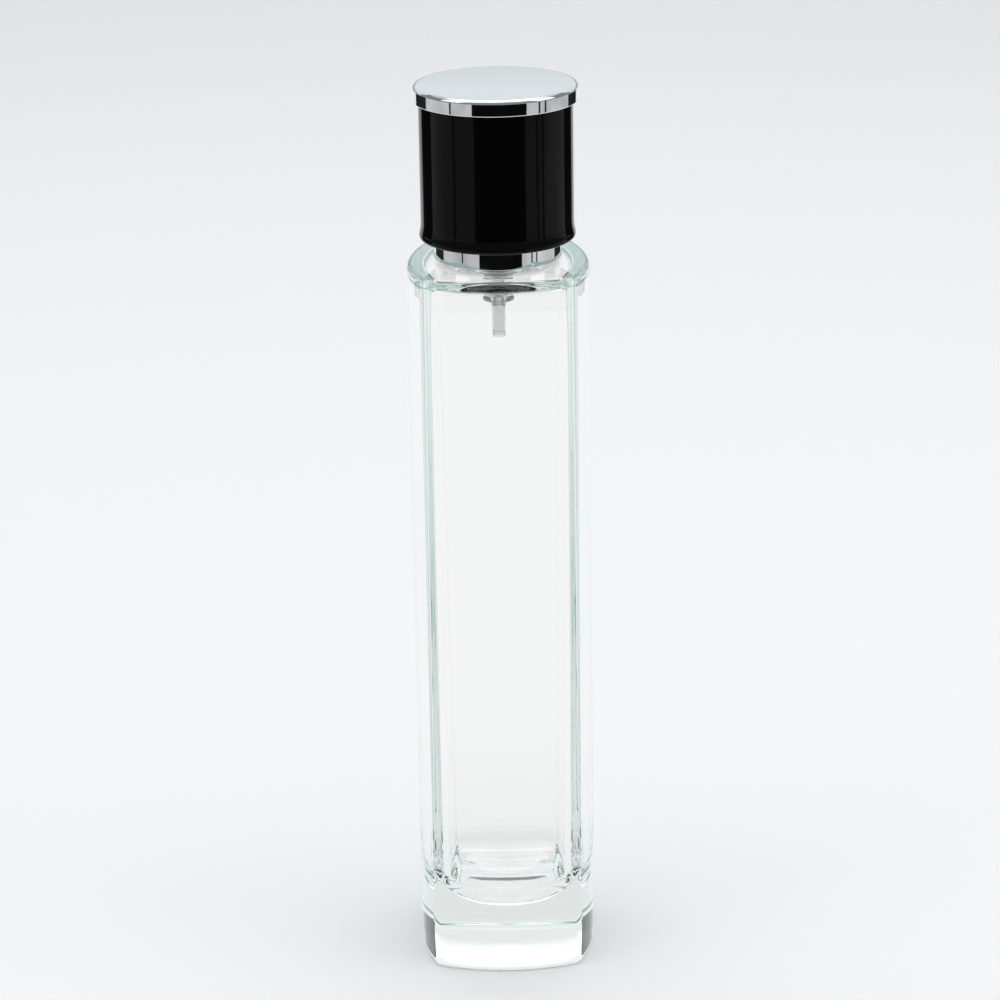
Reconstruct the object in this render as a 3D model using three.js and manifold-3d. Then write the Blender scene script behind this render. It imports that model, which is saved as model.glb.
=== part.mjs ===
// Tall square glass spray bottle for aftershave: crimped pump, chrome collar and pull-off cap.
// Millimetres, +Z up. The origin is the centre of the foot, on the surface the bottle stands on.
// The nozzle points along -Y. Every round piece is turned about the Z axis.
import * as THREE from "three";
import { mergeVertices } from "three/addons/utils/BufferGeometryUtils.js";
import Module from "manifold-3d";

const wasm = await Module();
wasm.setup();

// ---- driving dimensions -------------------------------------------------------------------

const bodyWidth = 36; // across two opposite faces, at their middle
const bodyHeight = 146.8; // foot to shoulder edge
const faceRadius = 38; // each face bows outwards
const bodyCornerRadius = 2.6; // the four upright edges
const shoulderRadius = 1.6;
const shoulderRise = 0.6; // the shoulder climbs this much towards the neck
const footRadius = 1.3;
const footRimWidth = 2.6; // flat ring that the bottle stands on
const puntHeight = 0.8; // hollow under the foot

const faceWall = 3.3; // glass at the middle of a face, near the shoulder
const wallTaper = 0.6; // extra glass in each face at the bottom of the cavity
const shoulderWall = 1.8; // glass above the cavity
const baseThickness = 10.5; // solid glass under the cavity
const bowlHeight = 10; // rounded bottom of the cavity
const ceilingHeight = 0.9; // rounded top of the cavity
const cavityFaceRadius = 32;
const cavityCornerTop = 1.4; // upright edges of the cavity, just under the ceiling
const cavityCorner = 3; // the same edges at the foot of the flare
const cavityCornerBottom = 5.6;
const cavityFlare = 0.1; // share of the wall height over which the edges open out to the top

const neckDiameter = 12.8;
const neckBore = 9.8;
const neckHeight = 9.5; // shoulder edge to neck lip
const finishDiameter = 15; // crimp bead
const finishHeight = 4.2;
const finishRound = 0.6;

const gasketThickness = 1;
const flangeThickness = 1;
const flangeDiameter = 13.6;
const pistonBore = 5.8;
const housingWall = 1;
const springBore = 4.4;
const barrelDiameter = 5.7;
const rimDiameter = 6.2; // bead round the foot of the barrel
const tailDiameter = 2.56; // dip tube socket
const tailBore = 1.7;
const tailLength = 6.2;
const ballDiameter = 1.8;
const ballLift = 0.8;
const ballStopMargin = 0.15; // room left above the ball at its highest
const ballSeatBore = 1.4;
const ballLipBore = 1.5; // ring above the ball that keeps it out of the spring
const ballLipHeight = 0.4;
const strokeMargin = 0.5; // piston bore below the full stroke

const stroke = 4.5;
const stemDiameter = 3;
const stemBore = 1;
const stemFootGap = 0.7; // round the stem foot, in the piston bore
const stemFootHeight = 0.8;
const pistonHeight = 3.6;
const stemGasketThickness = 0.6;
const guideDepth = 3;
const guideFlangeDiameter = 8;
const guideFlangeHeight = 0.8;
const springWire = 0.44;
const springTurns = 6.5;
const springLength = 8.1;

const ferruleWall = 0.4;
const collarDiameter = 25.3;
const collarBottomGap = 0.35; // collar foot above the glass
const collarWall = 0.45;
const collarWellGap = 0.5; // round the button
const collarWellDepth = 3;
const collarWellLift = 0.65; // foot of the well above the ferrule
const collarRound = 0.8;

const buttonDiameter = 13.2;
const buttonHeight = 10.9;
const buttonWall = 0.4;
const pressMargin = 0.55; // button foot above the ferrule when pressed home
const stemGrip = 4.9; // stem inside the button
const nozzleDiameter = 4;
const nozzleLength = 2.8;
const nozzleOrifice = 0.4;

const capLipReach = 0.31; // lip beyond the sleeve
const capLipHeight = 0.9; // straight rim below the flare
const capFlareHeight = 3.4;
const capWall = 1.25;
const capOverlap = 11.65; // cap below the collar's top
const capHeadroom = 1.45; // above the button
const plateReach = 1; // disc beyond the sleeve
const plateHeight = 3.28;
const plateRoof = 1.36;
const plateRound = 0.9;
const linerWall = 0.86;
const linerStepWidth = 1; // rests on the collar's top
const linerCupWall = 0.9;
const linerRoof = 1.2;
const linerRibs = 8;
const spigotLength = 2.2; // of the disc, inside the sleeve
const ledgeHeight = 0.8;

// clearances, each on the radius or on the height
const sealGap = 0.04; // seals that rub
const runningGap = 0.08; // what slides or turns
const seatGap = 0.05; // what rests or is pressed on
const gripGap = 0.15; // cap liner round the collar
const linerGap = 0.09; // cap liner inside the sleeve

const roundSides = 40;
const smallSides = 24;
const faceSteps = 8; // along each bowed face
const cornerSteps = 4; // round each upright edge

// ---- heights worked out from the dimensions above -----------------------------------------

const cavityTop = bodyHeight - shoulderWall;
const neckFoot = bodyHeight + shoulderRise;
const neckTop = bodyHeight + neckHeight;
const beadBottom = neckTop - finishHeight;

const flangeBottom = neckTop + gasketThickness;
const flangeTop = flangeBottom + flangeThickness;
const guideTop = flangeTop + guideFlangeHeight;
const guideFoot = flangeTop - guideDepth;
const stemGasketFoot = guideFoot - stemGasketThickness;
const pistonTop = stemGasketFoot - runningGap;
const pistonFoot = pistonTop - pistonHeight;
const stemFootTop = pistonFoot - seatGap;
const stemFoot = stemFootTop - stemFootHeight;
const springTop = stemFoot - seatGap;
const springSeat = springTop - springLength;
const boreStep = stemFoot - stroke - strokeMargin;
const ballLipFoot = springSeat - ballLipHeight;
// height of the ball's centre above a round edge that it sits on
const ballOver = (bore) => Math.sqrt(ballDiameter ** 2 - bore ** 2) / 2;
const ballCentre = ballLipFoot - ballOver(ballLipBore) - ballStopMargin - ballLift;
const seatEdge = ballCentre - ballOver(ballSeatBore) - seatGap;
const barrelFoot = seatEdge - 0.6;
const coneFoot = barrelFoot - 1.3;
const tailFoot = coneFoot - tailLength;

const collarFoot = neckFoot + collarBottomGap;
const ferruleShoulder = flangeTop + seatGap + ferruleWall;
const ferruleTop = guideTop + seatGap + ferruleWall;
const collarTop = ferruleTop + collarWellLift + collarWellDepth;
const collarWell = buttonDiameter + 2 * collarWellGap;
const buttonFoot = ferruleShoulder + stroke + pressMargin;
const buttonTop = buttonFoot + buttonHeight;
const stemTop = buttonFoot + stemGrip;
const nozzleHeight = buttonFoot + buttonHeight * 0.6;

const capFoot = collarTop - capOverlap;
const linerStep = collarTop + seatGap;
const linerCeiling = buttonTop + capHeadroom;
const linerTop = linerCeiling + linerRoof;
const ledgeTop = linerTop + seatGap + ledgeHeight;
const capTop = ledgeTop + seatGap + spigotLength;
const plateTop = capTop + plateRoof + seatGap;
const plateFoot = plateTop - plateHeight;
const linerGrip = collarDiameter / 2 + gripGap;
const linerCup = linerGrip - linerStepWidth;
const capBore = 2 * (linerGrip + linerWall + linerGap);
const capDiameter = capBore + 2 * capWall;
const capLipDiameter = capDiameter + 2 * capLipReach;
const plateDiameter = capDiameter + 2 * plateReach;

// ---- helpers ------------------------------------------------------------------------------

const point = (radius, height) => new THREE.Vector2(radius, height);

// Points on an arc in a turned profile, from one angle to another in degrees.
function arc(centreRadius, centreHeight, radius, from, to, steps = 3) {
  return Array.from({ length: steps + 1 }, (_, i) => {
    const angle = THREE.MathUtils.degToRad(from + ((to - from) * i) / steps);
    return point(centreRadius + radius * Math.cos(angle), centreHeight + radius * Math.sin(angle));
  });
}

// A turned solid. The profile runs counter-clockwise, with the radius to the right and height up.
function turned(profile, sides = roundSides) {
  const onAxis = profile[0].x === 0 && profile.at(-1).x === 0;
  const loop = onAxis ? profile : [...profile, profile[0]];
  return new THREE.LatheGeometry(loop, sides).rotateX(Math.PI / 2);
}

const tube = (innerRadius, outerRadius, foot, top, sides) =>
  turned([point(innerRadius, foot), point(outerRadius, foot), point(outerRadius, top), point(innerRadius, top)], sides);

// A closed geometry as a manifold-3d solid, and a solid as a geometry.
function solid(geometry) {
  const bare = new THREE.BufferGeometry().setAttribute("position", geometry.getAttribute("position"));
  const merged = mergeVertices(geometry.index ? bare.setIndex(geometry.index) : bare, 1e-4);
  return new wasm.Manifold(
    new wasm.Mesh({
      numProp: 3,
      vertProperties: new Float32Array(merged.attributes.position.array),
      triVerts: new Uint32Array(merged.index.array),
    }),
  );
}

function geometryOf(manifold) {
  const mesh = manifold.getMesh();
  return new THREE.BufferGeometry()
    .setAttribute("position", new THREE.BufferAttribute(mesh.vertProperties, 3))
    .setIndex(new THREE.BufferAttribute(mesh.triVerts, 1));
}

// A cylinder along Y, from one depth to another, at a height.
function crossCylinder(radius, fromY, toY, height, sides = 24) {
  return new THREE.CylinderGeometry(radius, radius, toY - fromY, sides).translate(0, (fromY + toY) / 2, height);
}

// Outline of a square with bowed faces and rounded corners, as [x, y] pairs.
function cushion(halfWidth, faceRound, cornerRound) {
  const centreOffset = faceRound - halfWidth;
  const cornerReach = faceRound - cornerRound;
  const corner = (Math.sqrt(2 * cornerReach ** 2 - centreOffset ** 2) - centreOffset) / 2;
  const faceHalfAngle = Math.atan2(corner, centreOffset + corner);
  const outline = [];
  for (let side = 0; side < 4; side++) {
    const turn = (side * Math.PI) / 2;
    const place = (x, y) =>
      outline.push([x * Math.cos(turn) - y * Math.sin(turn), x * Math.sin(turn) + y * Math.cos(turn)]);
    for (let i = 0; i < faceSteps; i++) {
      const angle = faceHalfAngle * ((2 * i) / faceSteps - 1);
      place(faceRound * Math.sin(angle), centreOffset - faceRound * Math.cos(angle));
    }
    for (let i = 0; i < cornerSteps; i++) {
      const angle = faceHalfAngle + (Math.PI / 2 - 2 * faceHalfAngle) * (i / cornerSteps);
      place(corner + cornerRound * Math.sin(angle), -corner - cornerRound * Math.cos(angle));
    }
  }
  return outline;
}

// The circle whose points lie in the same directions as an outline's.
const circleLike = (outline, radius) =>
  outline.map(([x, y]) => [(x / Math.hypot(x, y)) * radius, (y / Math.hypot(x, y)) * radius]);

const blendOutlines = (a, b, share) =>
  a.map(([x, y], i) => [x + (b[i][0] - x) * share, y + (b[i][1] - y) * share]);

// A closed skin through rings of equal count, from a pole on the axis to another.
function loft(firstPole, rings, lastPole) {
  const count = rings[0].outline.length;
  const positions = [0, 0, firstPole];
  rings.forEach(({ outline, height }) => outline.forEach(([x, y]) => positions.push(x, y, height)));
  positions.push(0, 0, lastPole);
  const last = positions.length / 3 - 1;
  const at = (ring, i) => 1 + ring * count + (i % count);
  const faces = [];
  for (let i = 0; i < count; i++) {
    faces.push(0, at(0, i + 1), at(0, i));
    faces.push(last, at(rings.length - 1, i), at(rings.length - 1, i + 1));
    for (let ring = 0; ring + 1 < rings.length; ring++) {
      faces.push(at(ring, i), at(ring, i + 1), at(ring + 1, i + 1));
      faces.push(at(ring, i), at(ring + 1, i + 1), at(ring + 1, i));
    }
  }
  return new THREE.BufferGeometry()
    .setAttribute("position", new THREE.Float32BufferAttribute(positions, 3))
    .setIndex(faces);
}

// ---- finishes -----------------------------------------------------------------------------

const finish = (color, roughness, metalness, extra = {}) =>
  new THREE.MeshStandardMaterial({ color, roughness, metalness, ...extra });

const clearGlass = finish(0xe8f3ee, 0.02, 0, { transparent: true, opacity: 0.3 });
const blackPlastic = finish(0x060607, 0.12, 0);
const chrome = finish(0xd8dadc, 0.06, 1);
const aluminium = finish(0xc9cbcd, 0.3, 1);
const steel = finish(0xb4b6b8, 0.25, 1);
const naturalPlastic = finish(0xe6ebe8, 0.35, 0, { transparent: true, opacity: 0.6 });
const whitePlastic = finish(0xeeeeea, 0.4, 0);
const sealRubber = finish(0xd9d6cc, 0.7, 0);

// ---- glass --------------------------------------------------------------------------------

// The body's outline, taken in by an inset all round.
const bodyOutline = (inset = 0) =>
  cushion(bodyWidth / 2 - inset, faceRadius - inset, bodyCornerRadius - inset);

function outerRings() {
  const rings = [];
  const add = (outline, height) => rings.push({ outline, height });
  const rimInner = bodyWidth / 2 - footRadius - footRimWidth;
  const rimShape = bodyOutline(footRadius);
  const rimScale = rimInner / (bodyWidth / 2 - footRadius);
  const inside = (share) => rimShape.map(([x, y]) => [x * share, y * share]);
  add(inside(rimScale * 0.5), puntHeight * 0.85);
  add(inside(rimScale * 0.85), puntHeight * 0.4);
  add(inside(rimScale), 0);
  for (let i = 0; i <= 3; i++) {
    const angle = (Math.PI / 2) * (i / 3);
    add(bodyOutline(footRadius * (1 - Math.sin(angle))), footRadius * (1 - Math.cos(angle)));
  }
  for (let i = 0; i <= 4; i++) {
    const angle = (Math.PI / 2) * (i / 4);
    add(bodyOutline(shoulderRadius * (1 - Math.cos(angle))), bodyHeight - shoulderRadius * (1 - Math.sin(angle)));
  }
  const round = (radius, height) => add(circleLike(rimShape, radius), height);
  const neckRadius = neckDiameter / 2;
  const fillet = 1;
  for (const { x, y } of arc(neckRadius + fillet, neckFoot + fillet, fillet, 270, 180, 3)) round(x, y);
  round(neckRadius, beadBottom - (finishDiameter - neckDiameter) / 2);
  round(finishDiameter / 2, beadBottom);
  for (const { x, y } of arc(finishDiameter / 2 - finishRound, neckTop - finishRound, finishRound, 0, 90, 2)) round(x, y);
  return rings;
}

function innerRings() {
  const rings = [];
  const add = (outline, height) => rings.push({ outline, height });
  const rimShape = bodyOutline(footRadius);
  const boreRadius = neckBore / 2;
  const boreRound = 0.4;
  for (const { x, y } of arc(boreRadius + boreRound, neckTop - boreRound, boreRound, 90, 180, 2))
    add(circleLike(rimShape, x), y);
  add(circleLike(rimShape, boreRadius), bodyHeight - 0.6);
  add(circleLike(rimShape, boreRadius + 0.5), cavityTop + 0.5);
  const cavity = (share) => {
    const opening = (1 - Math.min(1, share / cavityFlare)) ** 2;
    const corner =
      cavityCorner +
      (cavityCornerBottom - cavityCorner) * Math.sqrt(share) +
      (cavityCornerTop - cavityCorner) * opening;
    return cushion(bodyWidth / 2 - faceWall - wallTaper * share, cavityFaceRadius, corner);
  };
  // rounded top: from the bore out to the wall
  const ceilingSteps = 4;
  const upper = cavity(0);
  const mouth = circleLike(rimShape, boreRadius + 1.6);
  for (let i = 0; i <= ceilingSteps; i++) {
    const angle = (Math.PI / 2) * (i / ceilingSteps);
    add(blendOutlines(mouth, upper, Math.sin(angle)), cavityTop - ceilingHeight * (1 - Math.cos(angle)));
  }
  // straight wall: thicker and rounder in the corners towards the bottom
  const wallTop = cavityTop - ceilingHeight;
  const wallFoot = baseThickness + bowlHeight;
  for (const share of [cavityFlare * 0.4, cavityFlare, 0.4, 0.7, 1])
    add(cavity(share), wallTop + (wallFoot - wallTop) * share);
  // bowl
  const bowlSteps = 5;
  const lower = cavity(1);
  for (let i = 1; i < bowlSteps; i++) {
    const angle = (Math.PI / 2) * (i / bowlSteps);
    const scale = Math.cos(angle);
    const scaled = lower.map(([x, y]) => [x * scale, y * scale]);
    const circle = circleLike(lower, (bodyWidth / 2 - faceWall - wallTaper) * scale);
    add(blendOutlines(scaled, circle, Math.sin(angle) ** 4), wallFoot - bowlHeight * Math.sin(angle));
  }
  return rings;
}

const glassBottle = () => loft(puntHeight, [...outerRings(), ...innerRings()], baseThickness);

// ---- neck seal, ferrule and collar --------------------------------------------------------

const neckGasket = () =>
  tube(pistonBore / 2 + housingWall + 0.4, flangeDiameter / 2, neckTop, flangeBottom);

// Aluminium cup: holds the pump on the neck, its skirt crimped in under the glass bead.
function crimpFerrule() {
  const inner = finishDiameter / 2 + 0.2;
  const outer = inner + ferruleWall;
  const hatInner = guideFlangeDiameter / 2 + 0.15;
  const hole = stemDiameter / 2 + 0.9;
  const crimpFoot = beadBottom - 1.3;
  const crimpRadius = neckDiameter / 2 + 0.35;
  return turned([
    point(crimpRadius, crimpFoot),
    point(outer, beadBottom - 0.7),
    ...arc(outer - 0.5, ferruleShoulder - 0.5, 0.5, 0, 90),
    point(hatInner + ferruleWall, ferruleShoulder),
    point(hatInner + ferruleWall, ferruleTop),
    point(hole, ferruleTop),
    point(hole, ferruleTop - ferruleWall),
    point(hatInner, ferruleTop - ferruleWall),
    point(hatInner, flangeTop + seatGap),
    point(inner, flangeTop + seatGap),
    point(inner, beadBottom - 0.35),
    point(crimpRadius, crimpFoot + ferruleWall + 0.1),
  ]);
}

// Plastic sleeve pressed over the ferrule, which carries the chrome collar.
function collarInsert() {
  const gripInner = finishDiameter / 2 + 0.2 + ferruleWall + seatGap;
  const gripOuter = gripInner + 1.3;
  const skirtOuter = collarDiameter / 2 - collarWall - runningGap;
  const skirtInner = skirtOuter - 1.1;
  const ledge = collarWell / 2 + collarWall + 0.3;
  const ledgeFoot = ferruleShoulder + seatGap;
  const foot = collarFoot + 0.4;
  const top = collarTop - collarWall - seatGap;
  const webFoot = (foot + top) / 2 - 0.6;
  return turned([
    point(gripInner, foot + 1.2),
    point(gripOuter, foot + 1.2),
    point(gripOuter, webFoot),
    point(skirtInner, webFoot),
    point(skirtInner, foot),
    point(skirtOuter, foot),
    point(skirtOuter, top - collarRound),
    point(skirtOuter - collarRound, top),
    point(ledge, top),
    point(ledge, ledgeFoot),
    point(gripInner, ledgeFoot),
  ]);
}

// Chrome skin of the collar, turned over at the top into the well round the button.
function collarShell() {
  const outer = collarDiameter / 2;
  const inner = outer - collarWall;
  const well = collarWell / 2;
  const under = collarTop - collarWall;
  return turned([
    point(inner, collarFoot),
    point(outer, collarFoot),
    ...arc(outer - collarRound, collarTop - collarRound, collarRound, 0, 90),
    ...arc(well + 0.4, collarTop - 0.4, 0.4, 90, 180, 2),
    point(well, collarTop - collarWellDepth),
    point(well + collarWall, collarTop - collarWellDepth),
    point(well + collarWall, under),
    point(inner - collarRound + collarWall, under),
    point(inner, collarTop - collarRound),
  ]);
}

// ---- pump ---------------------------------------------------------------------------------

function pumpHousing() {
  const upperOuter = pistonBore / 2 + housingWall;
  const barrel = barrelDiameter / 2;
  const rim = rimDiameter / 2;
  const tail = tailDiameter / 2;
  const bore = tailBore / 2;
  const chamber = ballDiameter / 2 + 0.3;
  const seatHoleRadius = ballSeatBore / 2;
  return turned(
    [
      point(bore + 0.2, tailFoot),
      point(tail, tailFoot),
      point(tail + 0.05, coneFoot),
      point(tail + 0.45, coneFoot + 0.8),
      point(rim, barrelFoot),
      point(rim, barrelFoot + 0.5),
      point(barrel, barrelFoot + 0.9),
      point(barrel, boreStep - 1.4),
      point(upperOuter, boreStep - 0.8),
      point(upperOuter, flangeBottom),
      point(flangeDiameter / 2, flangeBottom),
      point(flangeDiameter / 2, flangeTop),
      point(pistonBore / 2, flangeTop),
      point(pistonBore / 2, boreStep),
      point(springBore / 2, boreStep - 0.4),
      point(springBore / 2, springSeat),
      point(ballLipBore / 2, springSeat),
      point(ballLipBore / 2, ballLipFoot),
      point(chamber, ballLipFoot),
      point(chamber, seatEdge + chamber - seatHoleRadius),
      point(seatHoleRadius, seatEdge),
      point(seatHoleRadius, seatEdge - 0.6),
      point(bore, coneFoot),
      point(bore, tailFoot + 1.2),
      point(bore + 0.15, tailFoot + 1.1),
    ],
    smallSides,
  );
}

function stemGuide() {
  const bore = stemDiameter / 2 + runningGap;
  const plug = pistonBore / 2 - sealGap;
  return turned(
    [
      point(bore, guideFoot),
      point(plug, guideFoot),
      point(plug, flangeTop),
      point(guideFlangeDiameter / 2, flangeTop),
      point(guideFlangeDiameter / 2, guideTop),
      point(bore, guideTop),
    ],
    smallSides,
  );
}

const stemGasket = () =>
  tube(stemDiameter / 2 + sealGap, pistonBore / 2 - sealGap, stemGasketFoot, guideFoot, smallSides);

// Cup seal with a lip at each end.
function piston() {
  const inner = stemDiameter / 2 + sealGap;
  const lip = pistonBore / 2 - sealGap;
  const waist = lip - 0.5;
  return turned(
    [
      point(inner, pistonFoot),
      point(waist, pistonFoot + 0.5),
      point(lip, pistonFoot),
      point(lip, pistonFoot + 0.6),
      point(waist, pistonFoot + 1.1),
      point(waist, pistonTop - 1.1),
      point(lip, pistonTop - 0.6),
      point(lip, pistonTop),
      point(waist, pistonTop - 0.3),
      point(inner, pistonTop - 0.3),
    ],
    smallSides,
  );
}

// Hollow stem: the liquid enters by a cross hole above its foot.
function stem() {
  const radius = stemDiameter / 2;
  const foot = pistonBore / 2 - stemFootGap;
  const channel = stemBore / 2;
  const channelFoot = stemFootTop + 0.5;
  const body = turned(
    [
      point(0, stemFoot),
      point(foot, stemFoot),
      point(foot, stemFootTop),
      point(radius, stemFootTop),
      point(radius, stemTop - 0.3),
      point(radius - 0.3, stemTop),
      point(channel, stemTop),
      point(channel, channelFoot),
      point(0, channelFoot),
    ],
    smallSides,
  );
  const port = crossCylinder(0.35, -stemDiameter, stemDiameter, channelFoot + 0.5, 12);
  return geometryOf(solid(body).subtract(solid(port)));
}

// A round wire wound as a helix, with its ends drawn flat onto the last turn.
class SpringLine extends THREE.Curve {
  getPoint(t) {
    const angle = t * springTurns * 2 * Math.PI;
    const closed = 0.75 / springTurns; // share of the wire in each end's dead turn
    const wire = springWire / 2;
    const rise = THREE.MathUtils.clamp((t - closed) / (1 - 2 * closed), 0, 1);
    const deadTurns = Math.min(t, closed) + Math.max(0, t - 1 + closed);
    const height =
      springSeat + wire + (deadTurns / closed) * springWire * 0.9 + rise * (springLength - 2 * wire - 1.8 * springWire);
    const radius = springBore / 2 - 0.25 - wire;
    return new THREE.Vector3(radius * Math.cos(angle), radius * Math.sin(angle), height);
  }
}

function returnSpring() {
  const wire = springWire / 2;
  const section = new THREE.Shape(
    Array.from({ length: 6 }, (_, i) => point(wire * Math.cos((i * Math.PI) / 3), wire * Math.sin((i * Math.PI) / 3))),
  );
  const steps = Math.round(springTurns * 12);
  return new THREE.ExtrudeGeometry(section, { steps, extrudePath: new SpringLine(), bevelEnabled: false });
}

const inletBall = () => new THREE.SphereGeometry(ballDiameter / 2, 16, 10).rotateX(Math.PI / 2).translate(0, 0, ballCentre);

// ---- button -------------------------------------------------------------------------------

const buttonBodyRadius = buttonDiameter / 2 - buttonWall - seatGap;
const buttonBodyTop = buttonTop - buttonWall - seatGap;
const nozzleFace = -(buttonDiameter / 2 - 0.35); // the insert sits a little inside the skin
const swirlPostRadius = nozzleDiameter / 2 - 0.9;

function buttonBody() {
  const socket = stemDiameter / 2 + sealGap;
  const post = stemDiameter / 2 + 1.2;
  const skirt = buttonBodyRadius - 1.1;
  const roofUnder = nozzleHeight - nozzleDiameter / 2 - 0.8;
  const channel = stemBore / 2;
  const body = solid(
    turned([
      point(socket, buttonFoot + 0.6),
      point(post, buttonFoot + 0.6),
      point(post, roofUnder),
      point(skirt, roofUnder),
      point(skirt, buttonFoot + 0.2),
      point(buttonBodyRadius, buttonFoot + 0.2),
      point(buttonBodyRadius, buttonBodyTop - 0.6),
      point(buttonBodyRadius - 0.6, buttonBodyTop),
      point(0, buttonBodyTop),
      point(0, nozzleHeight + channel),
      point(channel, nozzleHeight + channel),
      point(channel, stemTop + seatGap),
      point(socket, stemTop + seatGap),
    ]),
  );
  const seatDepth = nozzleFace + nozzleLength + seatGap;
  const seat = solid(crossCylinder(nozzleDiameter / 2 + seatGap, -buttonDiameter, seatDepth, nozzleHeight));
  const swirlPost = solid(crossCylinder(swirlPostRadius, nozzleFace + 1.1, seatDepth + 0.5, nozzleHeight));
  const feed = solid(crossCylinder(0.35, nozzleFace + nozzleLength - 0.3, 0, nozzleHeight + swirlPostRadius + 0.1, 12));
  return geometryOf(body.subtract(seat).add(swirlPost).subtract(feed));
}

// Small cup over the swirl post, with the spray hole in its face.
function nozzleInsert() {
  const radius = nozzleDiameter / 2;
  const inner = swirlPostRadius + 0.25;
  const face = 0.7;
  const cup = turned(
    [
      point(nozzleOrifice / 2, 0),
      point(0.7, -0.3),
      point(radius - 0.25, -0.3),
      point(radius, -0.05),
      point(radius, nozzleLength - 0.3),
      point(inner, nozzleLength - 0.3),
      point(inner, face),
      point(nozzleOrifice / 2, face),
    ].map(({ x, y }) => point(x, -y)).reverse(),
    24,
  );
  return cup.rotateX(Math.PI / 2).translate(0, nozzleFace + 0.3, nozzleHeight);
}

// Thin metal skin of the button, with a window for the nozzle.
function buttonShell() {
  const outer = buttonDiameter / 2;
  const inner = outer - buttonWall;
  const edge = 0.9;
  const dish = 0.35; // finger rest
  const cup = solid(
    turned([
      point(inner, buttonFoot),
      point(outer, buttonFoot),
      ...arc(outer - edge, buttonTop - edge, edge, 0, 90),
      point(outer * 0.6, buttonTop - dish * 0.5),
      point(0, buttonTop - dish),
      point(0, buttonTop - buttonWall),
      point(inner - 0.6, buttonTop - buttonWall),
      point(inner, buttonTop - buttonWall - 0.6),
    ]),
  );
  const window = solid(crossCylinder(nozzleDiameter / 2 + 0.3, -buttonDiameter, 0, nozzleHeight, 32));
  return geometryOf(cup.subtract(window));
}

// ---- cap ----------------------------------------------------------------------------------

// Black sleeve, flared to a lip at the bottom, with a ledge inside for the liner and the plate.
function capShell() {
  const outer = capDiameter / 2;
  const lip = capLipDiameter / 2;
  const bore = capBore / 2;
  const ledge = bore - 1;
  const flareSteps = 4;
  const flare = Array.from({ length: flareSteps }, (_, i) => {
    const share = (i + 1) / flareSteps;
    return point(outer + (lip - outer) * (1 - share) ** 2, capFoot + capLipHeight + (capFlareHeight - capLipHeight) * share);
  });
  return turned([
    point(bore, capFoot),
    ...arc(lip - 0.5, capFoot + 0.5, 0.5, 270, 360, 3),
    point(lip, capFoot + capLipHeight),
    ...flare,
    point(outer, capTop),
    point(bore, capTop),
    point(bore, ledgeTop),
    point(ledge, ledgeTop),
    point(ledge, ledgeTop - ledgeHeight),
    point(bore, ledgeTop - ledgeHeight),
  ]);
}

// Chrome disc, its skirt over the sleeve's top and its spigot inside it.
function capTopPlate() {
  const outer = plateDiameter / 2;
  const skirt = capDiameter / 2 + seatGap;
  const spigotOuter = capBore / 2 - seatGap;
  const spigotInner = spigotOuter - 0.9;
  const under = plateTop - plateRoof;
  return turned([
    point(0, under),
    point(spigotInner, under),
    point(spigotInner, under - spigotLength),
    point(spigotOuter, under - spigotLength),
    point(spigotOuter, under),
    point(skirt, under),
    point(skirt, plateFoot),
    point(outer - 0.15, plateFoot),
    point(outer, plateFoot + 0.15),
    ...arc(outer - plateRound, plateTop - plateRound, plateRound, 0, 90),
    point(0, plateTop),
  ]);
}

// Inner cup of the cap: its sleeve grips the collar, and its step rests on the collar's top.
function capLiner() {
  const grip = linerGrip;
  const outer = grip + linerWall;
  const cup = linerCup;
  const cupOuter = cup + linerCupWall;
  const foot = capFoot + 0.8;
  const body = solid(
    turned([
      point(grip + 0.3, foot),
      point(outer, foot),
      point(outer, linerStep + 1.2),
      point(cupOuter, linerStep + 1.2),
      point(cupOuter, linerCeiling),
      point(outer, linerCeiling),
      point(outer, linerTop),
      point(0, linerTop),
      point(0, linerCeiling),
      point(cup, linerCeiling),
      point(cup, linerStep),
      point(grip, linerStep),
      point(grip, foot + 0.5),
    ]),
  );
  // crush ribs that hold the cap on
  const ribFoot = foot + 1;
  const ribTop = linerStep - 0.5;
  const ribReach = gripGap - seatGap;
  let whole = body;
  for (let i = 0; i < linerRibs; i++) {
    const rib = new THREE.BoxGeometry(ribReach + 0.4, 1, ribTop - ribFoot)
      .translate(grip - ribReach + (ribReach + 0.4) / 2, 0, (ribFoot + ribTop) / 2)
      .rotateZ(((i + 0.5) * 2 * Math.PI) / linerRibs);
    whole = whole.add(solid(rib));
  }
  return geometryOf(whole);
}

// ---- assembly -----------------------------------------------------------------------------

const bottle = new THREE.Group();
const button = new THREE.Group();
const plunger = new THREE.Group();
const cap = new THREE.Group();

function place(group, name, geometry, material) {
  const mesh = new THREE.Mesh(geometry, material);
  mesh.name = name;
  group.add(mesh);
}

place(bottle, "glass_bottle", glassBottle(), clearGlass);
place(bottle, "neck_gasket", neckGasket(), sealRubber);
place(bottle, "crimp_ferrule", crimpFerrule(), aluminium);
place(bottle, "collar_insert", collarInsert(), whitePlastic);
place(bottle, "collar_shell", collarShell(), chrome);
place(bottle, "pump_housing", pumpHousing(), naturalPlastic);
place(bottle, "stem_guide", stemGuide(), whitePlastic);
place(bottle, "stem_gasket", stemGasket(), sealRubber);
place(bottle, "return_spring", returnSpring(), steel);
place(bottle, "inlet_ball", inletBall(), steel);
place(plunger, "stem", stem(), whitePlastic);
place(plunger, "piston", piston(), naturalPlastic);
place(button, "button_body", buttonBody(), whitePlastic);
place(button, "nozzle_insert", nozzleInsert(), whitePlastic);
place(button, "button_shell", buttonShell(), chrome);
place(cap, "cap_liner", capLiner(), whitePlastic);
place(cap, "cap_shell", capShell(), blackPlastic);
place(cap, "cap_top_plate", capTopPlate(), chrome);

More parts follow.
